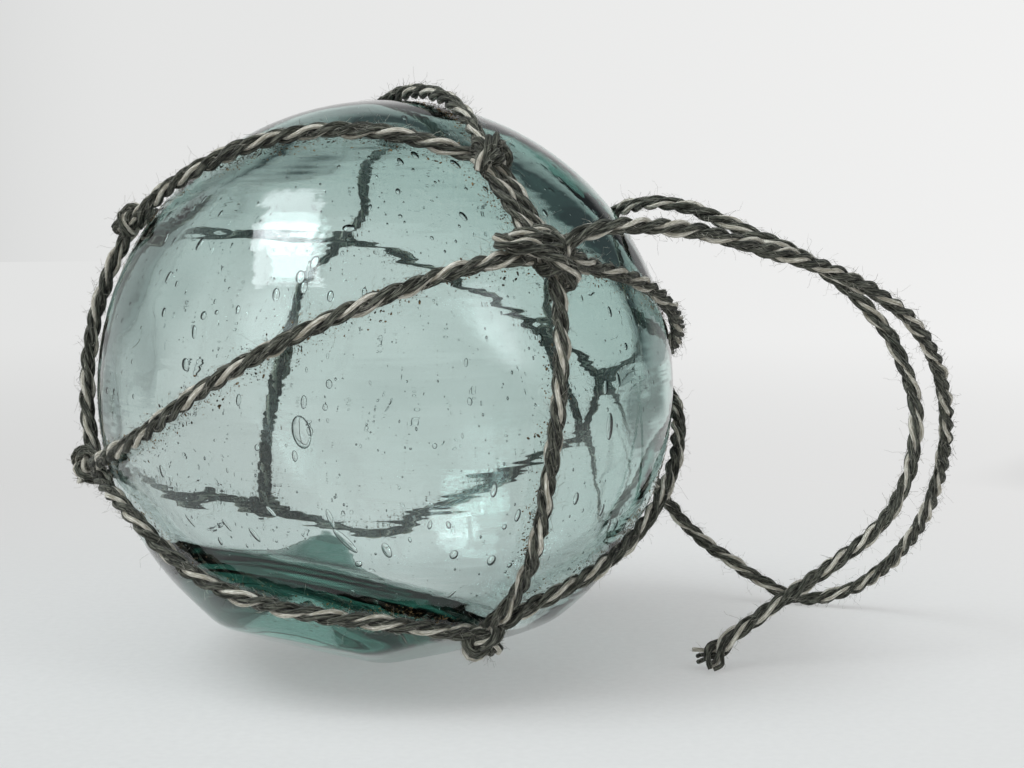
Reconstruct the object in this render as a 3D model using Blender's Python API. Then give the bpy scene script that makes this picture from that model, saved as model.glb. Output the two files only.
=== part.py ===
"""Glass float ball in a knotted twine net.

The ball lies on a small flat spot beside its seal, the thick button of glass that closed the
blowing hole. Two free ends of the twine leave the net on the right: one loops down to the surface
and back up to the net behind the ball, and the other arcs out and ends frayed on the surface.

Metres, +Z up. The front of the ball faces -Y. The origin is at the middle of the flat spot, on
the surface that the ball lies on, straight below the ball's centre.
"""

from math import cos, pi, radians, sin, tan

import bmesh
import bpy
from mathutils import Matrix, Vector

# Glass ball
BALL_RADIUS = 0.0375
FLAT_SPOT_DEPTH = 0.0011
BALL_SIDES = 48
BALL_RING_STEP = 7.5

# Seal: a turned button with a flat face, and a skirt that leaves the ball at a tangent
SEAL_LEAN_LEFT = 12.0
SEAL_LEAN_FRONT = 17.4
SEAL_FACE_DEPTH = 0.0020
SEAL_SKIRT_ANGLE = 31.0
SEAL_RIM_ROUNDING = 2.5
SEAL_FACE_RINGS = 2

# Heel: the side of the bottom that sagged flat before the glass was hard
HEEL_LEAN_RIGHT = 13.5
HEEL_LEAN_FRONT = 18.3
HEEL_DEPTH = 0.00254

# Twine and net
TWINE_DIAMETER = 0.0020
TWINE_CLEARANCE = 0.00035
TUBE_SIDES = 8
STRAND_STEP_DIAMETERS = 2.8
CORD_STEP_DIAMETERS = 2.6
DOUBLE_STRAND_SPACING = 0.0018

# Knots: a flattened lump with two turns of twine crossed over it
KNOT_LENGTH = 0.0060
KNOT_WIDTH = 0.0052
KNOT_HEIGHT = 0.0038
KNOT_TURN_ANGLE = 38.0
KNOT_TURN_SWEEP = 62.0
KNOT_TURN_SINK = 0.0005
KNOT_TURN_POINTS = 6
LUMP_SEGMENTS = 12
LUMP_RINGS = 7

# Places on the ball, as longitude from the front towards the right, and latitude, in degrees.
# Each knot also has the heading of its long side from level, and its size against a plain knot.
KNOTS = {
    "crown": ((31.5, 48.5), -40.0, 1.0),
    "left_upper": ((-80.0, 33.5), 60.0, 0.95),
    "left_lower": ((-77.0, -13.5), 50.0, 1.05),
    "front": ((36.0, 27.5), -20.0, 1.3),
    "front_low": ((27.0, -44.0), 35.0, 1.05),
    "right_back": ((117.0, 2.0), 10.0, 1.0),
    "back_upper": ((-163.5, 31.5), 0.0, 0.95),
    "back_lower": ((-143.0, -32.0), 20.0, 0.95),
    "tail_knot": ((137.5, 11.0), 70.0, 0.95),
    "loop_knot": ((127.0, -13.5), 30.0, 0.95),
}

# Net strands: first knot, last knot, and the places that a strand passes between them.
STRANDS = [
    ("crown", "left_upper", [(19, 53), (2, 57), (-19, 57.5), (-42, 53), (-60, 45)]),
    ("left_upper", "left_lower", [(-82, 20), (-82, 5)]),
    ("left_lower", "front", [(-58, -9), (-42, -3), (-20, 10), (6, 22), (24, 27)]),
    ("left_lower", "front_low", [(-56, -19), (-38, -31), (-16, -36.5), (6, -39.5)]),
    ("front", "front_low", [(36.5, 21), (34, 3), (32.5, -11), (32, -31)]),
    ("front", "right_back", [(50, 25), (63, 22), (80, 15.5), (98, 8)]),
    ("front_low", "right_back", [(39, -37), (55, -31), (67, -25), (81, -15), (97, -5)]),
    ("crown", "back_upper", [(35, 58), (45, 72), (-170, 71), (-172, 50)]),
    ("back_upper", "left_upper", [(-136, 35), (-106, 36)]),
    ("back_upper", "tail_knot", [(173, 28), (159, 22)]),
    ("tail_knot", "right_back", [(128, 8)]),
    ("tail_knot", "loop_knot", [(135, -1)]),
    ("loop_knot", "right_back", [(123, -6)]),
    ("back_upper", "back_lower", [(-155, 17), (-152, -3), (-147, -18)]),
    ("back_lower", "left_lower", [(-123, -29), (-104, -24)]),
    ("back_lower", "loop_knot", [(-163, -38), (-178, -38), (170, -31), (152, -23)]),
]
DOUBLE_STRAND = ("crown", "front", [(33, 41), (34.5, 35)])

# Free cords: each route's own points, from the net outwards, in metres.
LOOP_ROUTE = [
    (0.0250, -0.0314, 0.0575),
    (0.0285, -0.0302, 0.0580),
    (0.0322, -0.0280, 0.0580),
    (0.0383, -0.0250, 0.0573),
    (0.0458, -0.0210, 0.0553),
    (0.0551, -0.0160, 0.0525),
    (0.0622, -0.0120, 0.0491),
    (0.0675, -0.0080, 0.0452),
    (0.0714, -0.0030, 0.0403),
    (0.0741, 0.0020, 0.0344),
    (0.0756, 0.0070, 0.0284),
    (0.0759, 0.0120, 0.0220),
    (0.0750, 0.0170, 0.0154),
    (0.0724, 0.0220, 0.0090),
    (0.0686, 0.0263, 0.0042),
    (0.0640, 0.0286, 0.0017),
    (0.0592, 0.0298, 0.0012),
    (0.0540, 0.0312, 0.0036),
    (0.0495, 0.0322, 0.0065),
    (0.0450, 0.0325, 0.0098),
    (0.0407, 0.0312, 0.0145),
    (0.0373, 0.0288, 0.0194),
    (0.0346, 0.0263, 0.0237),
]
TAIL_ROUTE = [
    (0.0282, 0.0302, 0.0475),
    (0.0285, 0.0275, 0.0517),
    (0.0290, 0.0220, 0.0567),
    (0.0310, 0.0155, 0.0594),
    (0.0351, 0.0095, 0.0606),
    (0.0402, 0.0060, 0.0599),
    (0.0481, 0.0045, 0.0566),
    (0.0548, 0.0040, 0.0536),
    (0.0614, 0.0035, 0.0490),
    (0.0668, 0.0030, 0.0428),
    (0.0698, 0.0025, 0.0357),
    (0.0703, 0.0020, 0.0304),
    (0.0692, 0.0010, 0.0245),
    (0.0667, 0.0000, 0.0197),
    (0.0635, -0.0015, 0.0166),
    (0.0589, -0.0030, 0.0134),
    (0.0541, -0.0045, 0.0104),
    (0.0493, -0.0060, 0.0075),
    (0.0453, -0.0070, 0.0048),
    (0.0427, -0.0075, 0.0025),
    (0.0414, -0.0078, 0.0011),
]

# Worked out from the sizes above
TWINE_RADIUS = TWINE_DIAMETER / 2
CENTRE = Vector((0.0, 0.0, BALL_RADIUS - FLAT_SPOT_DEPTH))
NET_RADIUS = BALL_RADIUS + TWINE_CLEARANCE + TWINE_RADIUS


def clear_scene():
    for thing in list(bpy.data.objects):
        bpy.data.objects.remove(thing, do_unlink=True)


def plain_material(name, colour, roughness, transmission=0.0):
    """Principled material with one colour, and see-through where it is glass."""
    material = bpy.data.materials.new(name)
    material.use_nodes = True
    shader = material.node_tree.nodes["Principled BSDF"]
    shader.inputs["Base Color"].default_value = (*colour, 1.0)
    shader.inputs["Roughness"].default_value = roughness
    shader.inputs["Metallic"].default_value = 0.0
    shader.inputs["Transmission Weight"].default_value = transmission
    material.diffuse_color = (*colour, 1.0)
    return material


def new_object(name, data, material):
    thing = bpy.data.objects.new(name, data)
    bpy.context.collection.objects.link(thing)
    data.materials.append(material)
    return thing


def leaning_down(right, front):
    """Unit vector pointing down, leaning by these angles to the right and to the front."""
    return Vector((tan(radians(right)), -tan(radians(front)), -1.0)).normalized()


def on_ball(place, radius):
    """Point at a longitude and latitude, at this radius from the ball's centre."""
    longitude, latitude = (radians(angle) for angle in place)
    across = cos(latitude)
    outward = Vector((sin(longitude) * across, -cos(longitude) * across, sin(latitude)))
    return CENTRE + outward * radius


def seal_corner_angle(face_distance):
    """Angle from the seal's axis where its skirt would meet the plane of its face."""
    low, high = 0.0, SEAL_SKIRT_ANGLE
    for _ in range(40):
        middle = (low + high) / 2
        skirt = BALL_RADIUS / cos(radians(SEAL_SKIRT_ANGLE - middle))
        if skirt * cos(radians(middle)) > face_distance:
            low = middle
        else:
            high = middle
    return low


def seal_profile():
    """Pairs of (angle from the seal's axis, distance from the ball's centre), face to top."""
    face_distance = BALL_RADIUS - SEAL_FACE_DEPTH
    corner = seal_corner_angle(face_distance)
    face_end = corner - SEAL_RIM_ROUNDING
    profile = []
    for ring in range(SEAL_FACE_RINGS):
        angle = face_end * (ring + 1) / SEAL_FACE_RINGS
        profile.append((angle, face_distance / cos(radians(angle))))
    skirt_start = corner + SEAL_RIM_ROUNDING
    face_edge = profile[-1][1]
    skirt_edge = BALL_RADIUS / cos(radians(SEAL_SKIRT_ANGLE - skirt_start))
    corner_point = BALL_RADIUS / cos(radians(SEAL_SKIRT_ANGLE - corner))
    for share in (1 / 3, 2 / 3):
        straight = face_edge * (1 - share) + skirt_edge * share
        pull = 2 * share * (1 - share)
        angle = face_end + (skirt_start - face_end) * share
        profile.append((angle, straight + (corner_point - straight) * pull))
    profile.append((skirt_start, skirt_edge))
    rings = round((180 - SEAL_SKIRT_ANGLE) / BALL_RING_STEP)
    for ring in range(rings):
        profile.append((SEAL_SKIRT_ANGLE + (180 - SEAL_SKIRT_ANGLE) * ring / rings, BALL_RADIUS))
    return profile


def cut_flat(mesh, distance, direction):
    """Slice off what lies past a plane at this distance from the ball's centre, and close it."""
    geometry = mesh.verts[:] + mesh.edges[:] + mesh.faces[:]
    cut = bmesh.ops.bisect_plane(
        mesh,
        geom=geometry,
        dist=1e-6,
        plane_co=CENTRE + direction * distance,
        plane_no=direction,
        clear_outer=True,
    )
    rim = [part for part in cut["geom_cut"] if isinstance(part, bmesh.types.BMEdge)]
    bmesh.ops.edgeloop_fill(mesh, edges=rim)


def glass_ball(material):
    """Ball turned about its seal's axis, then flattened at the heel and at the flat spot."""
    seal_axis = leaning_down(-SEAL_LEAN_LEFT, SEAL_LEAN_FRONT)
    turn = Vector((0.0, 0.0, 1.0)).rotation_difference(seal_axis).to_matrix()
    mesh = bmesh.new()
    rings = []
    for angle, distance in seal_profile():
        ring = []
        for side in range(BALL_SIDES):
            around = 2 * pi * side / BALL_SIDES
            across = distance * sin(radians(angle))
            along = distance * cos(radians(angle))
            point = Vector((across * cos(around), across * sin(around), along))
            ring.append(mesh.verts.new(CENTRE + turn @ point))
        rings.append(ring)
    face_middle = mesh.verts.new(CENTRE + seal_axis * (BALL_RADIUS - SEAL_FACE_DEPTH))
    top = mesh.verts.new(CENTRE - seal_axis * BALL_RADIUS)
    for side in range(BALL_SIDES):
        after = (side + 1) % BALL_SIDES
        mesh.faces.new((face_middle, rings[0][side], rings[0][after]))
        mesh.faces.new((top, rings[-1][after], rings[-1][side]))
        for near, far in zip(rings, rings[1:]):
            mesh.faces.new((near[side], far[side], far[after], near[after]))
    cut_flat(mesh, BALL_RADIUS - HEEL_DEPTH, leaning_down(HEEL_LEAN_RIGHT, HEEL_LEAN_FRONT))
    cut_flat(mesh, BALL_RADIUS - FLAT_SPOT_DEPTH, Vector((0.0, 0.0, -1.0)))
    bmesh.ops.recalc_face_normals(mesh, faces=mesh.faces[:])
    data = bpy.data.meshes.new("glass_ball")
    mesh.to_mesh(data)
    mesh.free()
    ball = new_object("glass_ball", data, material)
    data.shade_smooth()
    data.set_sharp_from_angle(angle=radians(25.0))
    return ball


def smooth_route(points, step):
    """Points about a step apart along a smooth curve through the route's own points."""
    points = [Vector(point) for point in points]
    ends = [points[0] * 2 - points[1]] + points + [points[-1] * 2 - points[-2]]
    fine = [points[0]]
    for before, start, end, after in zip(ends, ends[1:], ends[2:], ends[3:]):
        for number in range(1, 17):
            t = number / 16
            bend_start = (end - before) / 2
            bend_end = (after - start) / 2
            fine.append(
                start * (2 * t**3 - 3 * t**2 + 1)
                + bend_start * (t**3 - 2 * t**2 + t)
                + end * (3 * t**2 - 2 * t**3)
                + bend_end * (t**3 - t**2)
            )
    spans = [(b - a).length for a, b in zip(fine, fine[1:])]
    count = max(2, round(sum(spans) / step))
    spacing = sum(spans) / count
    even = [fine[0]]
    walked = 0.0
    for start, end, span in zip(fine, fine[1:], spans):
        while len(even) < count and walked + span >= spacing * len(even):
            even.append(start.lerp(end, (spacing * len(even) - walked) / span))
        walked += span
    even.append(fine[-1])
    return even


def twine_object(name, points, material):
    """Round tube of twine with closed ends, as a curve through these points."""
    data = bpy.data.curves.new(name, "CURVE")
    data.dimensions = "3D"
    data.bevel_depth = TWINE_RADIUS
    data.bevel_resolution = TUBE_SIDES // 2 - 2
    data.resolution_u = 1
    data.render_resolution_u = 0
    data.use_fill_caps = True
    spline = data.splines.new("POLY")
    spline.points.add(len(points) - 1)
    for spot, point in zip(spline.points, points):
        spot.co = (*point, 1.0)
    return new_object(name, data, material)


def free_cord(name, route, material):
    return twine_object(name, smooth_route(route, CORD_STEP_DIAMETERS * TWINE_DIAMETER), material)


def strand_points(first, last, between, sideways=0.0):
    """Points of a strand that lies on the glass from one knot to another."""
    places = [KNOTS[first][0], *between, KNOTS[last][0]]
    route = smooth_route(
        [on_ball(place, NET_RADIUS) for place in places], STRAND_STEP_DIAMETERS * TWINE_DIAMETER
    )
    points = []
    for number, point in enumerate(route):
        outward = (point - CENTRE).normalized()
        ahead = route[min(number + 1, len(route) - 1)] - route[max(number - 1, 0)]
        aside = ahead.cross(outward).normalized() * sideways
        points.append(CENTRE + (outward * NET_RADIUS + aside).normalized() * NET_RADIUS)
    return points


def knot_frame(place, heading):
    """Matrix of a knot: X along its long side, Z out of the ball, at its lump's middle."""
    outward = (on_ball(place, 1.0) - CENTRE).normalized()
    level = Vector((0.0, 0.0, 1.0)).cross(outward).normalized()
    along = (Matrix.Rotation(radians(heading), 3, outward) @ level).normalized()
    across = outward.cross(along)
    return Matrix((along, across, outward)).transposed().to_4x4()


def knot_objects(name, material):
    """The lump of a knot and the turns of twine crossed over it."""
    place, heading, size = KNOTS[name]
    half = Vector((KNOT_LENGTH, KNOT_WIDTH, KNOT_HEIGHT)) * (size / 2)
    middle = on_ball(place, BALL_RADIUS + TWINE_CLEARANCE + half.z)
    frame = Matrix.Translation(middle) @ knot_frame(place, heading)
    lump = bmesh.new()
    bmesh.ops.create_uvsphere(
        lump, u_segments=LUMP_SEGMENTS, v_segments=LUMP_RINGS, radius=1.0
    )
    bmesh.ops.transform(lump, matrix=frame @ Matrix.Diagonal((*half, 1.0)), verts=lump.verts)
    data = bpy.data.meshes.new(name + "_lump")
    lump.to_mesh(data)
    lump.free()
    pieces = [new_object(name + "_lump", data, material)]
    for number, side in enumerate((-1, 1)):
        heading_of_turn = radians(KNOT_TURN_ANGLE * side)
        over = []
        for step in range(KNOT_TURN_POINTS):
            share = 2 * step / (KNOT_TURN_POINTS - 1) - 1
            sweep = radians(KNOT_TURN_SWEEP * share)
            reach = Vector((cos(heading_of_turn) * half.x, sin(heading_of_turn) * half.y, 0.0))
            spot = reach * sin(sweep) + Vector((0.0, 0.0, half.z - KNOT_TURN_SINK)) * cos(sweep)
            over.append(frame @ spot)
        pieces.append(twine_object(f"{name}_turn_{number}", over, material))
    return pieces


def plain_mesh(thing, graph):
    """Replace a curve or mesh object by its evaluated mesh, with the same name."""
    data = bpy.data.meshes.new_from_object(thing.evaluated_get(graph))
    name = thing.name
    material = thing.data.materials[0]
    bpy.data.objects.remove(thing, do_unlink=True)
    data.materials.clear()
    return new_object(name, data, material)


def net(material):
    """All strands and knots of the net, united into one solid."""
    pieces = []
    for number, (first, last, between) in enumerate(STRANDS):
        route = strand_points(first, last, between)
        pieces.append(twine_object(f"strand_{number}", route, material))
    first, last, between = DOUBLE_STRAND
    for side in (-1, 1):
        route = strand_points(first, last, between, side * DOUBLE_STRAND_SPACING / 2)
        pieces.append(twine_object(f"double_strand_{side}", route, material))
    for name in KNOTS:
        pieces.extend(knot_objects(name, material))
    bpy.context.view_layer.update()
    graph = bpy.context.evaluated_depsgraph_get()
    pieces = [plain_mesh(piece, graph) for piece in pieces]
    group = bpy.data.collections.new("net pieces")
    for piece in pieces[1:]:
        group.objects.link(piece)
    whole = pieces[0]
    union = whole.modifiers.new("one net", "BOOLEAN")
    union.operation = "UNION"
    union.operand_type = "COLLECTION"
    union.collection = group
    union.solver = "EXACT"
    bpy.context.view_layer.update()
    graph = bpy.context.evaluated_depsgraph_get()
    data = bpy.data.meshes.new_from_object(whole.evaluated_get(graph))
    data.materials.clear()
    for piece in pieces:
        bpy.data.objects.remove(piece, do_unlink=True)
    bpy.data.collections.remove(group)
    made = new_object("net", data, material)
    data.shade_smooth()
    data.set_sharp_from_angle(angle=radians(40.0))
    return made


def main():
    clear_scene()
    glass = plain_material("sea_green_glass", (0.42, 0.60, 0.57), 0.05, transmission=0.9)
    twine = plain_material("tarred_twine", (0.09, 0.075, 0.06), 0.9)
    glass_ball(glass)
    net(twine)
    free_cord("loop_cord", LOOP_ROUTE, twine)
    free_cord("tail_cord", TAIL_ROUTE, twine)


main()
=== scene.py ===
"""Glass float ball in a knotted twine net, lying on a pale sweep under soft light.

The ball is one glass wall with an outer and an inner surface, so that it is seen through as the
real one is, with bubbles left in the wall. The net and its two free ends are one kind of laid
twine: three plies of three yarns each, some yarns pale, with stray fibres along it.

Metres, +Z up. The front of the ball faces -Y.
"""

from math import cos, pi, radians, sin, tan

import bmesh
import bpy
import numpy as np
from mathutils import Matrix, Vector


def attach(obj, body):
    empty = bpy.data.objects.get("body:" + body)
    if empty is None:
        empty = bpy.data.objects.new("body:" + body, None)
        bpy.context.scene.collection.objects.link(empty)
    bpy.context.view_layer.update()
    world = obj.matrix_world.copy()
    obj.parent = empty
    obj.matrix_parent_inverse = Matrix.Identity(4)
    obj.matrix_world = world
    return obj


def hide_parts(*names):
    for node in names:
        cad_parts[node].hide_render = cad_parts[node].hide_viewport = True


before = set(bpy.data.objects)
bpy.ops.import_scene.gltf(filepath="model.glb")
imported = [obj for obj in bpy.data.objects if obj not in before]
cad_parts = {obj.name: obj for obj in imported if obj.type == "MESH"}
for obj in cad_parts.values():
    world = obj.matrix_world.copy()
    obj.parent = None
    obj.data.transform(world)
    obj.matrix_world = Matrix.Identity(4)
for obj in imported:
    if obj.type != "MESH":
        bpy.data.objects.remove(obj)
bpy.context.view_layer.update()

# Camera, at the photograph's height and angle
CAMERA_PLACE = (0.01632, -0.2287, 0.06084)
CAMERA_TILT = 84.0
CAMERA_LENS = 61.17
SENSOR_WIDTH = 36.0

# Glass ball: the same outline as the solid. Leans are to the right and the front, in degrees.
BALL_RADIUS = 0.0375
FLAT_SPOT_DEPTH = 0.0011
UP = Vector((0.0, 0.0, 1.0))
CENTRE = Vector((0.0, 0.0, BALL_RADIUS - FLAT_SPOT_DEPTH))
SEAL_LEAN = (-12.0, 17.4)
SEAL_FACE_DEPTH = 0.0020
SEAL_SKIRT_ANGLE = 31.0
HEEL_LEAN = (13.5, 18.3)
HEEL_DEPTH = 0.00254
SEAL_RIM_SOFTNESS = 0.0011
HEEL_SOFTNESS = 0.0009
SEAL_FACE_SWELL = 0.00012
BALL_SWELL = 0.00003
FLAT_SPOT_SOFTNESS = 0.0004
SURFACE_SIDES = 192
SURFACE_RINGS = 150

# Glass wall, from the outer surface in
WALL = 0.0034
LEAST_WALL = 0.0010
LEAST_WALL_SOFTNESS = 0.0012
THICK_SIDE = Vector((0.58, 0.0, 0.81))
THICK_SIDE_EXTRA = 0.0014
SEAL_FLOOR_DISTANCE = 0.0270
SEAL_FLOOR_SOFTNESS = 0.0024
SEAL_BUMP_LEAN = (-20.0, 22.0)
SEAL_BUMP_HEIGHT = 0.0060
SEAL_BUMP_WIDTH = 15.0
SEAL_BUMP_UNEVENNESS = 0.35
WALL_SWELL = 0.00022
WALL_FINE_SWELL = 0.00006
GLASS_COLOUR = (0.19, 0.525, 0.46, 1.0)
GLASS_DENSITY = 88.0
GLASS_IOR = 1.52
WAVE_SPREAD = (90.0, 90.0, 260.0)
WAVE_SHARE = 3.0
RIPPLE_SPREAD = (70.0, 70.0, 950.0)
RIPPLE_HEIGHT = 0.000028
SEED_DEPTH_RANGE = 0.0008

# Twine
TWINE_DIAMETER = 0.0020
TWINE_RADIUS = TWINE_DIAMETER / 2
TWINE_CLEARANCE = 0.00035
NET_RADIUS = BALL_RADIUS + TWINE_CLEARANCE + TWINE_RADIUS
DOUBLE_STRAND_SPACING = 0.0018
TWINE_MEASURES = {
    "Step": 0.00048,
    "Ply Pitch": 0.0080,
    "Ply Offset": 0.00054,
    "Yarn Pitch": 0.0056,
    "Yarn Offset": 0.00021,
    "Yarn Radius": 0.00030,
    "Pale Swell": 1.60,
    "Pale Stand Out": 0.50,
    "Unevenness": 0.00032,
}
TWINE_COUNTS = {"Plies": 3, "Yarns in Ply": 3, "Yarn Sides": 6}
ROUTE_STEP = 0.0008
LOOP_START_HEIGHT = 0.0016
FRAYED_LENGTH = 0.0045
FRAY_SPREAD = 1.6
FIBRE_ROOT_RADIUS = 0.00088
FIBRE_LEAN = 1.5
FLAKE_CLEARANCE = 0.00001

# Knots
KNOT_SIZE = Vector((0.0060, 0.0052, 0.0038))
KNOT_POINTS = 48

# Places on the ball, as longitude from the front towards the right, and latitude, in degrees.
# Each knot also has the heading of its long side from level, and its size against a plain knot.
KNOTS = {
    "crown": ((31.5, 48.5), -40.0, 1.0),
    "left_upper": ((-80.0, 33.5), 60.0, 0.95),
    "left_lower": ((-77.0, -13.5), 50.0, 1.05),
    "front": ((36.0, 27.5), -20.0, 1.15),
    "front_low": ((27.0, -44.0), 35.0, 1.05),
    "right_back": ((117.0, 2.0), 10.0, 1.0),
    "back_upper": ((-163.5, 31.5), 0.0, 0.95),
    "back_lower": ((-143.0, -32.0), 20.0, 0.95),
    "tail_knot": ((137.5, 11.0), 70.0, 0.95),
    "loop_knot": ((127.0, -13.5), 30.0, 0.95),
}

# Further turns round a knot, as places with a height over the net, in millimetres
KNOT_TURNS = {
    "front": [
        [(27.0, 30.6, 0.4), (25.2, 30.0, 1.2), (26.4, 28.6, 2.0), (30.5, 27.4, 2.8),
         (34.5, 25.6, 3.0), (38.2, 23.4, 2.0), (39.6, 22.4, 0.8), (38.6, 22.8, 0.0)],
        [(29.0, 31.2, 0.6), (31.0, 30.0, 2.2), (35.0, 27.6, 3.2), (40.0, 26.0, 2.2),
         (45.0, 25.4, 0.8), (48.5, 25.2, 0.0)],
        [(33.6, 32.0, 0.6), (35.0, 30.0, 2.6), (35.6, 27.0, 3.4), (35.6, 24.4, 1.2)],
    ],
    "crown": [
        [(27.5, 46.0, 0.0), (29.0, 47.5, 1.6), (32.0, 50.0, 2.4), (35.0, 51.0, 1.6),
         (37.0, 50.5, 0.0)],
    ],
}

# Net strands: first knot, last knot, and the places that a strand passes between them.
FRONT_STRANDS = [
    ("crown", "left_upper", [(19, 53), (2, 57), (-19, 57.5), (-42, 53), (-60, 45)]),
    ("left_upper", "left_lower", [(-82, 20), (-82, 5)]),
    ("left_lower", "front", [(-58, -9), (-42, -3), (-20, 10), (6, 22), (24, 27)]),
    ("left_lower", "front_low", [(-56, -19), (-38, -31), (-16, -36.5), (6, -39.5)]),
    ("front", "front_low", [(36.5, 21), (34, 3), (32.5, -11), (32, -31)]),
    ("front", "right_back", [(50, 25), (63, 22), (80, 15.5), (98, 8)]),
    ("front_low", "right_back", [(39, -37), (55, -31), (67, -25), (81, -15), (97, -5)]),
]
BACK_STRANDS = [
    ("crown", "back_upper", [(35, 58), (45, 72), (-170, 71), (-172, 50)]),
    ("back_upper", "left_upper", [(-136, 35), (-106, 36)]),
    ("back_upper", "tail_knot", [(173, 28), (159, 22)]),
    ("tail_knot", "right_back", [(128, 8)]),
    ("tail_knot", "loop_knot", [(135, -1)]),
    ("loop_knot", "right_back", [(123, -6)]),
    ("back_upper", "back_lower", [(-155, 17), (-152, -3), (-147, -18)]),
    ("back_lower", "left_lower", [(-123, -29), (-104, -24)]),
    ("back_lower", "loop_knot", [(-163, -38), (-178, -38), (170, -31), (152, -23)]),
]
DOUBLE_STRAND = ("crown", "front", [(33, 41), (34.5, 35)])

# Free cords: each route's own points, from the net outwards, in millimetres
LOOP_ROUTE = [
    (25.0, -31.4, 57.5), (28.5, -30.2, 58.0), (32.2, -28.0, 58.0), (38.3, -25.0, 57.3),
    (45.8, -21.0, 55.3), (55.1, -16.0, 52.5), (62.2, -12.0, 49.1), (67.5, -8.0, 45.2),
    (71.4, -3.0, 40.3), (74.1, 2.0, 34.4), (75.6, 7.0, 28.4), (75.9, 12.0, 22.0),
    (75.0, 17.0, 15.4), (72.4, 22.0, 9.0), (68.6, 26.3, 4.2), (64.0, 28.6, 1.7),
    (59.2, 29.8, 1.2), (54.0, 31.2, 3.6), (49.5, 32.2, 6.5), (45.0, 32.5, 9.8),
    (40.7, 31.2, 14.5), (37.3, 28.8, 19.4), (34.6, 26.3, 23.7),
]
TAIL_ROUTE = [
    (28.2, 30.2, 47.5), (28.5, 27.5, 51.7), (29.0, 22.0, 56.7), (31.0, 15.5, 59.4),
    (35.1, 9.5, 60.6), (40.2, 6.0, 59.9), (48.1, 4.5, 56.6), (54.8, 4.0, 53.6),
    (61.4, 3.5, 49.0), (66.8, 3.0, 42.8), (69.8, 2.5, 35.7), (70.3, 2.0, 30.4),
    (69.2, 1.0, 24.5), (66.7, 0.0, 19.7), (63.5, -1.5, 16.6), (58.9, -3.0, 13.4),
    (54.1, -4.5, 10.4), (49.3, -6.0, 7.5), (45.3, -7.0, 4.8), (42.7, -7.5, 2.5),
    (41.4, -7.8, 1.1),
]

# Large bubbles in the front wall: longitude, latitude, length and width in millimetres, and how
# far each leans from upright, in degrees. The molten glass drew out those by the seal.
LARGE_BUBBLES = [
    (-11.5, -2, 3.8, 2.2, -12), (-13.5, 26, 1.6, 1.1, 0), (-12.5, 24, 1.4, 0.9, 0),
    (-18, 22.5, 1.6, 0.9, -5), (-11, 29, 1.6, 0.9, 15), (-4.5, 36, 1.0, 1.5, 0),
    (-41, 32, 1.7, 0.9, 10), (-35, 15, 1.6, 0.7, -12), (-36, 9, 1.5, 1.1, -20),
    (-47, 25, 1.5, 0.7, 10), (50, -3.5, 3.2, 1.2, 0), (49, 4, 1.8, 0.9, 10),
    (53, 5, 1.7, 0.8, -10), (54, 18, 1.3, 0.7, 0), (17, -26, 1.3, 1.0, 0),
    (25.5, -28, 1.5, 1.1, 0), (-38.5, -20.5, 1.9, 0.5, -35), (-29, -20.5, 1.8, 0.5, -32),
    (-23, -22, 2.1, 0.7, -30), (-18.5, -17, 1.6, 0.6, -40), (-7, -18, 2.5, 0.7, -15),
    (-4.5, -22.5, 4.0, 1.0, -38), (3.5, -24.5, 2.2, 1.0, -20), (18, -35.5, 1.4, 0.4, 35),
]
BUBBLE_FLATNESS = 0.26

# Light and sweep, linear light values, and heights as the sine of the angle above level
SWEEP_LEFT = (0.76, 0.765, 0.76)
SWEEP_RIGHT = (0.88, 0.88, 0.875)
SWEEP_SIDE = (0.38, 0.39, 0.39)
ROOM_MIDDLE = (0.45, 0.46, 0.46)
ROOM_ABOVE = (0.07, 0.08, 0.085)
SWEEP_TOP = 0.28
ROOM_MIDDLE_HEIGHT = 0.50
ROOM_START = 0.68
SWEEP_DROP_START = 0.12
SWEEP_DROP = 0.9
HORIZON_BAND = (0.02, 0.14)
HORIZON_SHARE = 0.25
SWEEP_LEFT_EDGE = (-0.55, -0.20)
SWEEP_RIGHT_EDGE = (0.30, 0.42)
PAPER_COLOUR = (0.83, 0.83, 0.815)
PAPER_GRAIN = (0.97, 1.03)
FLOOR_RADIUS = 1.6
# Near the ball the floor still glows in part, painted light that softens the ball's shadow; the
# caustic behind the ball is a painted pool of light
FLOOR_FADE = (0.015, 0.17)
FLOOR_LEAST_GLOW = 0.38
FLOOR_DIM = 0.87
FLOOR_DIM_EDGE = (0.10, 0.60)
FLOOR_SIDE_EDGE = (0.58, 0.70)
FLOOR_SIDE_START = (0.18, 0.28)
FLOOR_SIDE_DIM = 0.40
CAUSTIC_PLACE = (-0.004, 0.032, 0.0)
CAUSTIC_RADIUS = 0.042
EYE_ALLOWANCE = 0.22
FILL_PLACE = (0.10, -0.55, 1.15)
FILL_SIZE = 1.2
FILL_POWER = 4.5

# Windows in the room: the way to the middle, the way across, half the width and height, how far
# the sides lean, softness of the edges, and brightness
WINDOWS = [
    ((-0.468, -0.091, 0.881), (0.782, -0.553, 0.288), (0.172, 0.175), 0.43, 0.03, 5.5),
    ((-0.525, -0.350, 0.780), (0.713, -0.651, 0.259), (0.225, 0.185), 0.45, 0.03, 7.5),
    ((-0.653, -0.576, 0.492), (0.722, -0.670, 0.173), (0.170, 0.180), 0.35, 0.07, 1.8),
    ((0.712, -0.575, 0.425), (0.620, 0.780, -0.076), (0.105, 0.240), 0.25, 0.15, 4.2),
]
WINDOW_TINT = (0.93, 1.0, 1.03)
WINDOW_WOBBLE_ACROSS = 0.22
WINDOW_WOBBLE_UP = 0.14


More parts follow.
